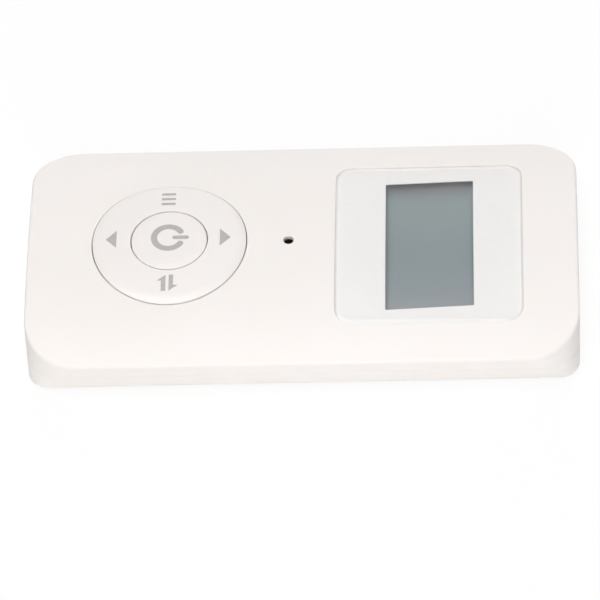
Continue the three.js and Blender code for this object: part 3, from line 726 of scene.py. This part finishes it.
def crownedRow(radius, drop, steps):
    # a circle round the pad whose height follows the crowned face, raised as the ring rises inwards
    angle = np.arange(steps) / steps * 2 * np.pi
    y = radius * np.sin(angle)
    z = faceHeight(y) + ringLift(radius) - drop
    return np.stack([keyCentre[0] + radius * np.cos(angle), keyCentre[1] + y, z], axis=1)


def levelRow(radius, z, steps):
    return turnedGrid([(radius, z)], keyCentre, steps)[0]


def lastEdge(size, slope):
    # reach and drop of a tight rounding that carries on from a slope and ends upright
    turn = np.linspace(math.atan(slope), np.pi / 2, 7)
    reach = (np.sin(turn) - np.sin(turn[0])) / (1 - np.sin(turn[0]))
    drop = (np.cos(turn[0]) - np.cos(turn)) / np.cos(turn[0])
    return list(zip(size * reach, size * drop))[1:]


def ringGrids(steps=288):
    rows = [levelRow(ring["bore"], ring["underside"], steps)]
    for s, r in rounding[::-1]:
        radius = ring["bore"] + ring["innerRound"] * (1 - s)
        rows.append(crownedRow(radius, ring["innerDrop"] * r, steps))
    inner = ring["bore"] + ring["innerRound"]
    outer = ring["radius"] - ring["outerRound"] - ring["edge"]
    for radius in np.linspace(inner, outer, 12)[1:-1]:
        rows.append(crownedRow(radius, 0, steps))
    for share in np.linspace(0, 1, 14):
        # the rim rounds off slowly at first, then quickly
        drop = ring["outerDrop"] * share ** ring["ease"]
        rows.append(crownedRow(outer + ring["outerRound"] * share, drop, steps))
    for reach, fall in lastEdge(ring["edge"], ring["ease"] * ring["outerDrop"] / ring["outerRound"]):
        rows.append(crownedRow(ring["radius"] - ring["edge"] + reach, ring["outerDrop"] + fall, steps))
    for radius, z in [("radius", "flangeTop"), ("flange", "flangeTop"), ("flange", "flangeLow"),
                      ("skirt", "flangeLow"), ("skirt", "underside"), ("bore", "underside")]:
        rows.append(levelRow(ring[radius], ring[z], steps))
    return [(np.stack(rows), True)]


def ringMesh():
    grids, caps = ringGrids(), []
    for quarterTurn in range(4):
        angle = quarterTurn * math.pi / 2
        foot = keyCentre[:2] + ring["legSpread"] * np.array([math.cos(angle), math.sin(angle)])
        leg, ends = pillar(
            circleLoop(foot, ring["legRadius"], 36), ring["legLow"], ring["underside"] + ring["legRoot"]
        )
        grids.append(leg)
        caps += ends
    return buildMesh("rocker_ring", grids, caps)


def buttonMesh(steps=216):
    top, flat = buttonTop, buttonFlat
    profile = [(nearAxis, top + button["dome"])]
    for share in np.linspace(0, 1, 8)[1:]:
        profile.append((flat * share, top + button["dome"] * (1 - share ** 2)))
    for share in np.linspace(0, 1, 14)[1:]:
        profile.append((flat + button["round"] * share, top - button["drop"] * share ** ring["ease"]))
    for reach, fall in lastEdge(button["edge"], ring["ease"] * button["drop"] / button["round"]):
        profile.append((button["radius"] - button["edge"] + reach, top - button["drop"] - fall))
    profile += [(button["radius"], button["flangeHigh"]), (button["flange"], button["flangeHigh"])]
    profile += [(button["flange"], button["skirtLow"]), (button["inner"], button["skirtLow"])]
    profile += [(button["inner"], top - button["roof"]), (nearAxis, top - button["roof"])]
    grid = turnedGrid(profile, keyCentre, steps)
    stem, ends = pillar(
        circleLoop(keyCentre[:2], button["stemRadius"], 36), button["stemLow"],
        top - button["roof"] + button["stemRoot"],
    )
    return buildMesh("power_key_cap", [(grid, True), stem], ends)


addPiece("rocker_ring", ringMesh(), "ring", keyAbs, ["nav_ring"])
addPiece("power_key_cap", buttonMesh(), "power_key", keyAbs, ["power_button"])
print("keys ready")


# printed key symbols, thin films of ink that follow the keys
ink = dict(over=0.012, under=0.05)


def buttonSurface(x, y):
    return buttonTop + button["dome"] * (1 - (x ** 2 + y ** 2) / buttonFlat ** 2)


def ringSurface(x, y):
    radius = np.hypot(x, y)
    start = ring["radius"] - ring["outerRound"] - ring["edge"]
    past = np.clip((radius - start) / ring["outerRound"], 0, 1)
    return faceHeight(y) + ringLift(radius) - ring["outerDrop"] * past ** ring["ease"]


def film(flat, surface):
    # closes a grid of flat points, relative to the pad's middle, into a thin film on a surface
    height = surface(flat[..., 0], flat[..., 1])
    top = np.concatenate([flat, (height + ink["over"])[..., None]], axis=-1)
    low = np.concatenate([flat, (height - ink["under"])[..., None]], axis=-1)
    edge = np.concatenate([top[0], top[1:, -1], top[-1, -2::-1], top[-2:0:-1, 0]])
    edgeLow = np.concatenate([low[0], low[1:, -1], low[-1, -2::-1], low[-2:0:-1, 0]])
    pad = np.array([printCentre[0], printCentre[1], 0])
    return [(top + pad, False), (low + pad, False), (np.stack([edge, edgeLow]) + pad, True)]


def stroke(path, width, rounded=True, across=5, capSteps=8):
    # a path given a width; a round end narrows it as a half circle does
    path = np.asarray(path, float)
    along = np.gradient(path, axis=0)
    along /= np.hypot(*along.T)[:, None]
    side = np.stack([-along[:, 1], along[:, 0]], axis=1)
    half = np.full(len(path), width / 2)
    if rounded:
        turn = np.linspace(0.0, 1, capSteps + 1)[:-1]
        # half width = half the stroke times the root of one less the square of the way to the tip
        ends = width / 2 * np.sqrt(np.clip(1 - (1 - turn) ** 2, 0.0004, 1))
        lead = width / 2 * (1 - turn)
        before, after = path[0] - along[0] * lead[:, None], path[-1] + along[-1] * lead[::-1, None]
        path = np.concatenate([before, path, after])
        first, last = [np.repeat(end, capSteps, 0) for end in (side[:1], side[-1:])]
        side = np.concatenate([first, side, last])
        half = np.concatenate([ends, half, ends[::-1]])
    spread = np.linspace(-1, 1, across)[None, :, None]
    return path[:, None] + side[:, None] * spread * half[:, None, None]


def straight(a, b, steps=10):
    return np.linspace(a, b, steps)


def quadPatch(a, b, c, d, rows=6, columns=6):
    # a flat four-cornered patch; two corners may all but meet
    u = np.linspace(0, 1, rows)[:, None, None]
    v = np.linspace(0, 1, columns)[None, :, None]
    a, b, c, d = [np.array(p, float) for p in (a, b, c, d)]
    return (a + (b - a) * v) * (1 - u) + (d + (c - d) * v) * u


power = dict(centre=(-0.1, 0.55), radius=3.12, width=1.35, open=32.0, bar=(1.3, 3.9), barWidth=1.0)


def powerMesh():
    # an open ring and a bar through its gap
    angle = np.radians(np.linspace(power["open"], 360 - power["open"], 72))
    arc = around(power["centre"], power["radius"], angle)
    bar = straight(*[(x, power["centre"][1]) for x in power["bar"]])
    strokes = [stroke(arc, power["width"]), stroke(bar, power["barWidth"])]
    return buildMesh("power_symbol", [grid for patch in strokes for grid in film(patch, buttonSurface)])


addPiece("power_symbol", powerMesh(), "power_key", greyInk)

arrows = dict(tip=13.6, base=11.3, half=2.45, middle=0.55, aside=-0.15, blunt=0.05)
menu = dict(low=-1.9, high=1.15, bars=(10.75, 12.35, 13.95), width=0.72)
swap = dict(
    left=(-1.4, -0.4), right=(0.3, 1.25), far=-9.8, near=-13.85,
    barb=0.75, barbEnd=1.45,        # the barb starts and ends this far in from the arrow's point
    barbTip=1.4, leftReach=0.85, rightReach=1.0,
)


def triangle(side):
    tip, base = side * arrows["tip"] + arrows["aside"], side * arrows["base"] + arrows["aside"]
    y, half = arrows["middle"], arrows["half"]
    blunt = arrows["blunt"]
    return quadPatch((base, y - half), (base, y + half), (tip, y + blunt), (tip, y - blunt))


def menuBar(y):
    return stroke(straight((menu["low"], y), (menu["high"], y)), menu["width"], rounded=False)


def halfArrows():
    # two half arrows side by side, one pointing away and one pointing near
    far, near, barb, end, tip = [swap[name] for name in ("far", "near", "barb", "barbEnd", "barbTip")]
    x, side = swap["left"]
    out = x - swap["leftReach"]
    away = [
        quadPatch((x, near), (side, near), (side, far), (x, far - barb)),
        quadPatch((x, far - barb), (x, far - end), (out, far - end), (out, far - tip)),
    ]
    side, x = swap["right"]
    out = x + swap["rightReach"]
    return away + [
        quadPatch((side, near), (x, near + barb), (x, far), (side, far)),
        quadPatch((x, near + barb), (x, near + end), (out, near + end), (out, near + tip)),
    ]


def ringPrintMesh():
    patches = [triangle(-1), triangle(1), *[menuBar(y) for y in menu["bars"]], *halfArrows()]
    return buildMesh("ring_symbols", [grid for patch in patches for grid in film(patch, ringSurface)])


addPiece("ring_symbols", ringPrintMesh(), "ring", greyInk)
print("symbols ready")


# display
lens = dict(halfX=20.355, halfY=22.45, corner=3.74, aside=-0.01, thickness=0.7, bevel=1.9, drop=0.16)
mask = dict(
    inset=0.01,                     # from the lens's edge
    sink=0.85, thickness=0.2,       # depth below the crowned face
    border=0.6, borderSink=0.42,    # within the border the print curves up to this depth
    halfX=9.57, halfY=17.93, corner=0.3,    # the clear window in the white print
    middle=(27.69, -0.4),
    lean=0.038,                     # its short edges climb this much to the right
)


def slabLoop(centre, halfX, halfY, corner, arcSteps=20, lineSteps=60):
    end = roundEnd(halfX, halfY, corner, arcSteps, lineSteps)
    return np.concatenate([end, -end]) + centre


def plateOutline(inset):
    size = [lens[name] - inset for name in ("halfX", "halfY", "corner")]
    return slabLoop(windowSpot + [lens["aside"], 0], *size)


def plateLoop(inset, drop):
    # the lens's outline, drawn in and laid below the crowned face
    return lifted(plateOutline(inset), under(drop))


def narrowed(loop, centreX, shares):
    # the same loop drawn in to its middle line; the crown only falls along Y, so the heights hold
    across = loop[:, :1] - centreX
    return [np.concatenate([centreX + across * share, loop[:, 1:]], axis=1) for share in shares]


def printSink(inset):
    # depth of the print below the face: least at the edge, a quarter wave down to full at the border
    past = np.clip(inset / mask["border"], 0, 1)
    return mask["borderSink"] + (mask["sink"] - mask["borderSink"]) * np.sin(past * np.pi / 2)


def lensMesh(steps=9):
    # a plate that follows the crown, thin at its edge; its rim falls away as the square of the way out
    shares = np.linspace(1, 0, steps)[1:]
    middleX = windowSpot[0] + lens["aside"]
    slack = mask["sink"] - lens["thickness"]
    insets = np.linspace(mask["border"], 0, steps)
    back = [plateLoop(inset, printSink(inset) - slack) for inset in insets]
    rows = narrowed(back[0], middleX, shares[::-1]) + back
    rows += [plateLoop(lens["bevel"] * (1 - u), lens["drop"] * u ** 2) for u in np.linspace(1, 0, steps)]
    rows += narrowed(rows[-1], middleX, shares)
    return buildMesh("display_window", [(np.stack(rows), True)])


def maskMesh(steps=9):
    # white print behind the lens: a border that curves up to the edge, then rows that run in
    insets = np.linspace(mask["inset"], mask["border"], steps)
    border = [plateOutline(inset) for inset in insets]
    hole = slabLoop(mask["middle"], mask["halfX"], mask["halfY"], mask["corner"])
    hole[:, 1] += mask["lean"] * (hole[:, 0] - mask["middle"][0])
    inner = [border[-1] + (hole - border[-1]) * share for share in np.linspace(0, 1, steps)[1:]]
    top = [lifted(loop, under(printSink(inset))) for loop, inset in zip(border, insets)]
    top += [lifted(loop, under(mask["sink"])) for loop in inner]
    low = [loop - [0, 0, mask["thickness"]] for loop in top]
    return buildMesh("window_print", [(np.stack([*top, *low[::-1], top[0]]), True)])


addPiece("display_window", lensMesh(), "root", lensAcrylic, ["display_lens"])
addPiece("window_print", maskMesh(), "root", whiteInk, ["lens_mask"])

cell = dict(depth=0.45, rim=0.12, ledge=2.8, ledgeTop=0.4, corner=0.3)


def filmWithPaintedLight():
    # the grey-green film behind a blank display, with painted light along Y: paler at the near edge, and
    # paler and greyer under the far edge, where the window's rim casts real shade
    material, tree = newMaterial("display_film_painted_light")
    place = objectPlace(tree)
    split = node(tree, "ShaderNodeSeparateXYZ", Vector=place)
    along = node(
        tree, "ShaderNodeMapRange", Value=split.outputs["Y"], From_Min=-0.018, From_Max=0.018
    )
    mixed = node(
        tree, "ShaderNodeMath", {"operation": "MULTIPLY_ADD"},
        _0=noise(tree, place, 70.0, 1.0), _1=0.05, _2=along.outputs["Result"],
    )
    # painted light: the stops at both ends are paler than the film's own middle tone
    tone = ramp(tree, mixed.outputs["Value"], [
        (0.07, linear("999ea2")), (0.14, linear("8e969b")), (0.28, linear("849094")),
        (0.44, linear("818d91")), (0.6, linear("828f92")), (0.86, linear("899697")),
        (0.93, linear("879596")), (0.98, linear("888e94")), (1.0, linear("8e9196")),
    ])
    shader = node(tree, "ShaderNodeBsdfPrincipled", Base_Color=tone, Roughness=0.5, IOR=1.3)
    output(tree, shader.outputs["BSDF"])
    return material


def cellTray():
    # an open tray: the film lies deep in the glass, inside a rim that stands up to the window's back
    cellLow, cellHigh = nodeBox("lcd_panel")
    centre = (cellLow + cellHigh)[:2] / 2
    outer, low, high = (cellHigh - cellLow)[:2] / 2, cellLow[2], cellHigh[2]
    inner = outer - cell["rim"]
    foot = outer - [cell["ledge"], 0]
    deep = high - cell["depth"]
    step = low + cell["ledgeTop"]
    rows = [(foot, low), (foot, step), (outer, step), (outer, high), (inner, high), (inner, deep)]
    tray = stackSolid([(slabLoop(centre, *size, cell["corner"], 5, 6), z) for size, z in rows])
    return solidsMesh("display_cell", [tray])


addPiece("display_cell", cellTray(), "root", filmWithPaintedLight(), ["lcd_panel"])
print("display ready")


# battery door and case screws, seen from behind
door = dict(
    flange=15.6, hub=13.3, low=0.15, flangeTop=0.75, top=2.8, rim=1.2, floor=1.8,
    edge=0.3, burr=0.1,             # the outer rounding, and the small breaks of the other edges
    lugReach=14.6, lugSpan=30.0, lugLow=2.1, lugRoot=0.6, clear=5,
    slotX=7.0, slotY=0.9, slotCorner=0.5, slotTop=1.15,
)


def doorMesh():
    low, edge, burr = door["low"], door["edge"], door["burr"]
    flange, flangeTop, hub, top = door["flange"], door["flangeTop"], door["hub"], door["top"]
    profile = [(nearAxis, low)]
    profile += [(flange - edge * (1 - s), low + edge * r) for s, r in rounding]
    profile += [(flange, flangeTop - burr), (flange - burr, flangeTop), (hub, flangeTop)]
    profile += [(hub, top - burr), (hub - burr, top), (hub - door["rim"], top)]
    profile += [(hub - door["rim"], door["floor"]), (nearAxis, door["floor"])]
    body = buildMesh("battery_door_body", [(turnedGrid(profile, (0, 0), rear["doorPoints"]), True)])
    lugs = [pillar(sectorLoop(door["lugReach"], door["lugSpan"], turn), door["lugLow"], top)
            for turn in (0, 180)]
    inside = pillar(circleLoop((0, 0), hub - door["lugRoot"]), 0, door["clear"])
    lugs = cut("battery_lugs", solidsMesh("battery_lugs", lugs), solidsMesh("battery_inside", [inside]))
    body = cut("battery_door_body", body, lugs, "UNION")

    def slotLoop(grow):
        size = [door[name] + grow for name in ("slotX", "slotY", "slotCorner")]
        return slabLoop((0, 0), *size, 6, 12)

    slot = opening(slotLoop, door["slotTop"], low)
    return cut("battery_cover_disc", body, solidsMesh("coin_slot", [slot]))


addPiece("battery_cover_disc", doorMesh(), "battery_cover", caseAbs, ["battery_door"])

screw = dict(
    head=2.3, low=0.6, round=0.9, roundHeight=0.7, edge=0.1, seat=2.3,
    shank=1.15, tip=10.4, tipRadius=0.25, taper=1, taperIn=0.3,
    thread=0.25, pitch=0.7, ridge=0.3, threadStart=0.6, threadEnd=1.2,
    recess=1.25, recessWidth=0.3, recessDepth=1.0, recessCorner=0.1, recessFoot=0.6,
)


def screwMesh(centre):
    low, head, seat, edge = screw["low"], screw["head"], screw["seat"], screw["edge"]
    shank, tip, ridge = screw["shank"], screw["tip"], screw["ridge"]
    profile = [(nearAxis, low)]
    # the head rounds off like a pan, then a straight edge up to the seat
    profile += [(head - screw["round"] * (1 - s), low + screw["roundHeight"] * r)
                for s, r in rounding]
    profile += [(head, seat - edge), (head - edge, seat), (shank, seat)]
    core = shank - screw["thread"]
    for z in np.arange(seat + screw["threadStart"], tip - screw["threadEnd"], screw["pitch"]):
        profile += [(core, z), (shank, z + ridge), (core, z + 2 * ridge)]
    profile += [(shank - screw["taperIn"], tip - screw["taper"])]
    profile += [(screw["tipRadius"], tip), (nearAxis, tip)]
    body = buildMesh("case_screw_body", [(turnedGrid(profile, centre, 48), True)])
    length, width = screw["recess"], screw["recessWidth"]
    for halfX, halfY in [(length, width), (width, length)]:
        # one arm of the cross, narrower at its foot
        wide = slabLoop(centre, halfX, halfY, screw["recessCorner"], 4, 4)
        deep = centre + (wide - centre) * screw["recessFoot"]
        arm = stackSolid([(wide, -1), (wide, low), (deep, low + screw["recessDepth"])])
        body = cut("case_screw_body", body, solidsMesh("screw_recess", [arm]))
    return body


for number, spot in enumerate(screws, 1):
    solid = f"case_screw_{number}"
    addPiece(f"pan_screw_{number}", screwMesh(spot), "root", zincSteel, [solid])
print("door and screws ready")


# carried-over solids get real finishes
def greenLaminate():
    # solder-masked glass fibre board: the weave shows faintly under the green
    material, tree = newMaterial("solder_masked_fibreglass")
    place = objectPlace(tree)
    weave = node(tree, "ShaderNodeTexChecker", Vector=place, Scale=2500.0,
                 Color1=linear("2c6a45"), Color2=linear("347650"))
    rough = between(tree, noise(tree, place, 120.0, 2.0), 0.28, 0.45)
    shader = node(
        tree, "ShaderNodeBsdfPrincipled", Base_Color=weave.outputs["Color"], Roughness=rough
    )
    output(tree, shader.outputs["BSDF"])
    return material


siliconeRubber = mouldedAbs("grey_silicone_rubber", "c6c8ca", "bcbec0", 0.72, 0.4, 0.02)
zebraRubber = mouldedAbs("zebra_strip_rubber", "b5a7a0", "a0928b", 0.75, 0.5, 0.02)
acrylicGuide = mouldedAbs("light_guide_acrylic", "e6ecec", "dde4e4", 0.2, 0.6, 0.005)
epoxyBlack = mouldedAbs("black_moulding_epoxy", "242528", "1b1c1e", 0.6, 0.25, 0.02)
finishes = {
    "lcd_holder": innerAbs, "light_guide": acrylicGuide,
    "elastomer_strip_1": zebraRubber, "elastomer_strip_2": zebraRubber, "main_board": greenLaminate(),
    "microcontroller": epoxyBlack, "buzzer": blackNylon, "temperature_sensor": epoxyBlack,
    "sensor_sleeve": sleeveRubber, "radio_module": zincSteel, "crystal": zincSteel,
    "antenna": coilCopper, "capacitor_1": rolledAluminium, "capacitor_2": rolledAluminium,
    "rocker_collar": innerAbs, "keypad_frame": innerAbs, "keypad_mat": siliconeRubber,
    "coin_cell": zincSteel, "battery_holder": blackNylon,
    "negative_contact": springBronze, "positive_contact": springBronze,
}
finishes.update({name: zincSteel for name in nodes if name.startswith("board_screw")})
for name, material in finishes.items():
    for spot in nodes[name].material_slots:
        spot.material = material
print("solids finished")

# stage: white table, white surroundings, soft lamps
room = dict(
    power=3.75,                     # strength of its light, brightest along the middle
    leftEnd=0.37, rightEnd=0.68,    # where it has fallen to nothing, from 0 at left to 1 at right
)
sweep = dict(
    half=3, gap=0.0002,             # m; the gap keeps the paper's top out of the rear face
    paper=0.98,                     # how much of the lamps' light it gives back
    white=0.85,                     # share of plain white in it as it is seen
)
lamps = dict(
    low=dict(place=(0.0, -0.85, 0.17), size=0.3, power=1.17),
    top=dict(place=(-0.2, -0.15, 0.9), size=0.6, power=2.25),
)


def backdropShader(tree, camera, rest):
    # one shader for what the camera, a mirror or clear glass sees, another for what lights the object
    rays = node(tree, "ShaderNodeLightPath")
    first = node(
        tree, "ShaderNodeMath", {"operation": "MAXIMUM"},
        _0=rays.outputs["Is Camera Ray"], _1=rays.outputs["Is Glossy Ray"],
    )
    seen = node(
        tree, "ShaderNodeMath", {"operation": "MAXIMUM"},
        _0=first.outputs["Value"], _1=rays.outputs["Is Transmission Ray"],
    )
    mix = node(tree, "ShaderNodeMixShader", Fac=seen.outputs["Value"], _1=rest, _2=camera)
    return mix.outputs["Shader"]


def whiteRoom():
    # plain white where it is seen; as a light, a band along the middle that is dark at both ends
    made = bpy.data.worlds.new("white_room")
    made.use_nodes = True
    tree = made.node_tree
    tree.nodes.clear()
    seen = node(tree, "ShaderNodeBackground", Color=grey(1), Strength=1.0)
    toward = node(tree, "ShaderNodeTexCoord").outputs["Generated"]
    split = node(tree, "ShaderNodeSeparateXYZ", Vector=toward)
    across = node(tree, "ShaderNodeMapRange", Value=split.outputs["X"], From_Min=-1.0)
    level = ramp(tree, across.outputs["Result"], [
        (room["leftEnd"], grey(0)), (0.5, grey(1)), (room["rightEnd"], grey(0)),
    ])
    lit = node(tree, "ShaderNodeBackground", Color=level, Strength=room["power"])
    both = backdropShader(tree, seen.outputs["Background"], lit.outputs["Background"])
    node(tree, "ShaderNodeOutputWorld", Surface=both)
    return made


def whiteTable():
    # matt paper that is nearly plain white where it is seen
    material, tree = newMaterial("white_paper_sweep")
    diffuse = node(tree, "ShaderNodeBsdfDiffuse", Color=grey(sweep["paper"]))
    plain = node(tree, "ShaderNodeEmission", Color=grey(1), Strength=1.0)
    paper = node(
        tree, "ShaderNodeMixShader", Fac=sweep["white"],
        _1=diffuse.outputs["BSDF"], _2=plain.outputs["Emission"],
    )
    output(tree, backdropShader(tree, paper.outputs["Shader"], diffuse.outputs["BSDF"]))
    half = sweep["half"]
    mesh = bpy.data.meshes.new("table")
    corners = [(-half, -half, 0), (half, -half, 0), (half, half, 0), (-half, half, 0)]
    mesh.from_pydata(corners, [], [(0, 1, 2, 3)])
    mesh.materials.append(material)
    made = bpy.data.objects.new("table", mesh)
    made.location.z = cadBox[0].z - sweep["gap"]
    scene.collection.objects.link(made)
    return made


def softLamp(name, place, size, power):
    # a round lamp that looks at the object
    data = bpy.data.lights.new(name, "AREA")
    data.shape = "DISK"
    data.size = size
    data.energy = power
    lamp = bpy.data.objects.new(name, data)
    lamp.location = place
    lamp.rotation_euler = (-Vector(place)).to_track_quat("-Z", "Y").to_euler()
    scene.collection.objects.link(lamp)


scene.world = whiteRoom()
table = whiteTable()
for name, about in lamps.items():
    softLamp(name, **about)
print("stage ready")
